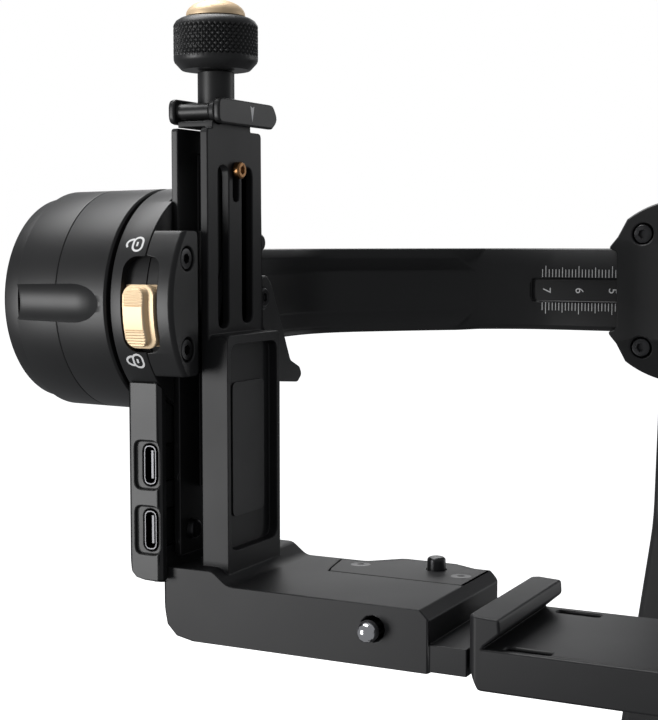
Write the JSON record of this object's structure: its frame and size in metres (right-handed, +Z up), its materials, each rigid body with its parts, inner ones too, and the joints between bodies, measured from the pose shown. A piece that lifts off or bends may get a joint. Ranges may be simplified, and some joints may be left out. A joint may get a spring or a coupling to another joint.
{
  "type": "camera gimbal stabilizer",
  "caption": "Handheld three-axis camera gimbal with pan, roll and tilt motors, a sliding camera arm on a vertical rail and a lever-locked plate receiver.",
  "frame": {"origin": "centre of the handle's foot, on the pan axis, where the tripod thread is", "axes": "+Z up along the pan axis, -Y towards what the lens looks at, +X from the tilt motor to the free side of the camera arm"},
  "size_m": [0.1908, 0.1996, 0.4478],
  "materials": {
    "black_anodised": "satin black hard-anodised machined aluminium",
    "grey_anodised": "dark grey bead-blasted anodised aluminium",
    "gold_anodised": "satin champagne-gold anodised aluminium",
    "bronze": "bronze-coloured socket screw",
    "chrome": "polished chromed steel",
    "dark_steel": "black-oxide steel",
    "steel": "bright turned steel",
    "black_plastic": "fine-textured black moulded plastic",
    "rubber": "matt black rubber with fine ribs",
    "display_glass": "black glossy display window",
    "circuit_board": "green solder-masked circuit board",
    "battery_wrap": "shrink-wrapped battery"
  },
  "bodies": {
    "handle": {"front_shell": "black_plastic", "rear_shell": "black_plastic", "grip_sleeve": "rubber", "base_plate": "black_anodised", "battery": "battery_wrap", "control_board": "circuit_board", "display_window": "display_glass", "pan_stator": "black_anodised"},
    "trigger": {"trigger": "black_plastic"},
    "joystick_ring": {"joystick_ring": "dark_steel"},
    "joystick_cap": {"joystick_cap": "rubber"},
    "record_button": {"record_button": "black_plastic"},
    "mode_button": {"mode_button": "black_plastic"},
    "focus_dial": {"focus_dial": "black_anodised"},
    "pan_frame": {"pan_rotor": "black_anodised", "pan_shaft": "steel", "pan_arm": "black_anodised", "roll_stator": "black_anodised", "roll_end_cap": "black_anodised"},
    "pan_lock": {"pan_lock_slider": "gold_anodised"},
    "roll_lock": {"roll_lock_slider": "gold_anodised"},
    "roll_carrier": {"roll_rotor": "black_anodised", "roll_clamp": "black_anodised", "roll_clamp_screw_upper": "dark_steel", "roll_clamp_screw_lower": "dark_steel"},
    "roll_clamp_lever": {"roll_clamp_lever": "black_anodised"},
    "roll_arm": {"roll_beam": "black_anodised", "tilt_drum": "black_anodised", "drum_end_cap": "black_anodised", "tilt_bearing": "steel"},
    "tilt_hub": {"tilt_rotor": "steel", "lock_ring": "black_anodised", "clamp_block": "black_anodised", "clamp_screw_lower": "dark_steel", "clamp_screw_upper": "dark_steel", "rear_jaw": "black_anodised", "lever_pivot_screw": "dark_steel", "port_housing": "black_anodised", "usb_socket_lower": "steel", "usb_socket_upper": "steel"},
    "tilt_lock": {"tilt_lock_slider": "gold_anodised"},
    "tilt_lock_pin": {"tilt_lock_pin": "steel"},
    "jaw_release_button": {"jaw_release_button": "dark_steel"},
    "rail_clamp_lever": {"rail_clamp_lever": "black_anodised"},
    "rail": {"vertical_rail": "black_anodised", "rail_stop_screw": "dark_steel", "fine_stop_screw": "bronze"},
    "carriage": {"camera_arm": "grey_anodised", "insert_plate": "grey_anodised", "label_plate": "black_plastic"},
    "knob": {"lead_screw": "black_anodised", "adjust_knob": "black_anodised", "knob_cap": "gold_anodised"},
    "bail": {"bail_lever": "black_anodised"},
    "front_plunger": {"front_plunger": "chrome"},
    "top_pin": {"top_pin": "dark_steel"},
    "receiver": {"receiver_base": "grey_anodised", "receiver_lever_pin": "dark_steel"},
    "receiver_jaw": {"receiver_jaw": "grey_anodised"},
    "receiver_lever": {"receiver_lever": "black_anodised"}
  },
  "joints": [
    {"name": "pan", "type": "hinge", "parent": "handle", "child": "pan_frame", "pos_m": [0, 0, 0.2], "axis": [0, 0, 1], "continuous": true},
    {"name": "roll", "type": "hinge", "parent": "pan_frame", "child": "roll_carrier", "pos_m": [0, 0.124, 0.3775], "axis": [0, 1, 0], "range_deg": [-150, 150]},
    {"name": "tilt", "type": "hinge", "parent": "roll_arm", "child": "tilt_hub", "pos_m": [-0.09, -0.0285, 0.37775], "axis": [1, 0, 0], "range_deg": [-150, 150]},
    {"name": "roll_arm_slide", "type": "slide", "parent": "roll_carrier", "child": "roll_arm", "axis": [1, 0, 0], "range_m": [-0.022, 0.014]},
    {"name": "roll_clamp", "type": "hinge", "parent": "roll_carrier", "child": "roll_clamp_lever", "pos_m": [0.008, 0.086, 0.3775], "axis": [0, -1, 0], "range_deg": [0, 110]},
    {"name": "roll_lock", "type": "hinge", "parent": "pan_frame", "child": "roll_lock", "pos_m": [0, 0.124, 0.3775], "axis": [0, -1, 0], "range_deg": [0, 12]},
    {"name": "pan_lock", "type": "hinge", "parent": "pan_frame", "child": "pan_lock", "pos_m": [0, 0, 0.21], "axis": [0, 0, 1], "range_deg": [0, 11]},
    {"name": "tilt_lock", "type": "hinge", "parent": "tilt_hub", "child": "tilt_lock", "pos_m": [-0.09, -0.0285, 0.37775], "axis": [-1, 0, 0], "range_deg": [0, 12]},
    {"name": "tilt_lock_pin", "type": "slide", "parent": "tilt_hub", "child": "tilt_lock_pin", "axis": [1, 0, 0], "range_m": [0, 0.00145]},
    {"name": "jaw_release", "type": "slide", "parent": "tilt_hub", "child": "jaw_release_button", "axis": [-1, 0, 0], "range_m": [0, 0.0012], "stiffness_N_per_m": 400},
    {"name": "rail_clamp", "type": "hinge", "parent": "tilt_hub", "child": "rail_clamp_lever", "pos_m": [-0.08, -0.0113, 0.378], "axis": [1, 0, 0], "range_deg": [0, 100]},
    {"name": "rail_slide", "type": "slide", "parent": "tilt_hub", "child": "rail", "axis": [0, 0, 1], "range_m": [-0.012, 0.029]},
    {"name": "fine_slide", "type": "slide", "parent": "rail", "child": "carriage", "axis": [0, 0, 1], "range_m": [0, 0.0048]},
    {"name": "knob_turn", "type": "hinge", "parent": "carriage", "child": "knob", "pos_m": [-0.0815, -0.0285, 0.43], "axis": [0, 0, 1], "range_deg": [0, 2165]},
    {"name": "bail_turn", "type": "hinge", "parent": "carriage", "child": "bail", "pos_m": [-0.0815, -0.036, 0.4215], "axis": [-1, 0, 0], "range_deg": [0, 35]},
    {"name": "plunger_press", "type": "slide", "parent": "carriage", "child": "front_plunger", "axis": [0, 1, 0], "range_m": [0, 0.003], "stiffness_N_per_m": 400},
    {"name": "top_pin_press", "type": "slide", "parent": "carriage", "child": "top_pin", "axis": [0, 0, -1], "range_m": [0, 0.0026], "stiffness_N_per_m": 400},
    {"name": "receiver_slide", "type": "slide", "parent": "carriage", "child": "receiver", "axis": [1, 0, 0], "range_m": [0, 0.022]},
    {"name": "jaw_slide", "type": "slide", "parent": "receiver", "child": "receiver_jaw", "axis": [1, 0, 0], "range_m": [0, 0.002]},
    {"name": "jaw_lever", "type": "hinge", "parent": "receiver", "child": "receiver_lever", "pos_m": [0.06, -0.025, 0.303], "axis": [0, 0, 1], "range_deg": [0, 90.5]},
    {"name": "trigger_pull", "type": "hinge", "parent": "handle", "child": "trigger", "pos_m": [0, -0.0185, 0.15], "axis": [1, 0, 0], "range_deg": [0, 9], "stiffness_Nm_per_rad": 0.06},
    {"name": "joystick_x", "type": "hinge", "parent": "handle", "child": "joystick_ring", "pos_m": [0, 0.0218, 0.134], "axis": [1, 0, 0], "range_deg": [-12, 12], "stiffness_Nm_per_rad": 0.01},
    {"name": "joystick_z", "type": "hinge", "parent": "joystick_ring", "child": "joystick_cap", "pos_m": [0, 0.0218, 0.134], "axis": [0, 0, 1], "range_deg": [-12, 12], "stiffness_Nm_per_rad": 0.01},
    {"name": "record_press", "type": "slide", "parent": "handle", "child": "record_button", "axis": [0, -1, 0], "range_m": [0, 0.0012], "stiffness_N_per_m": 400},
    {"name": "mode_press", "type": "slide", "parent": "handle", "child": "mode_button", "axis": [0, -1, 0], "range_m": [0, 0.0012], "stiffness_N_per_m": 400},
    {"name": "focus_turn", "type": "hinge", "parent": "handle", "child": "focus_dial", "pos_m": [-0.025, 0, 0.132], "axis": [1, 0, 0], "continuous": true}
  ],
  "couplings": [
    {"joint": "knob_turn", "follows": "fine_slide", "rad_per_m": 7854},
    {"joint": "tilt_lock", "follows": "tilt_lock_pin", "rad_per_m": 143},
    {"joint": "jaw_lever", "follows": "jaw_slide", "rad_per_m": 785.4}
  ]
}
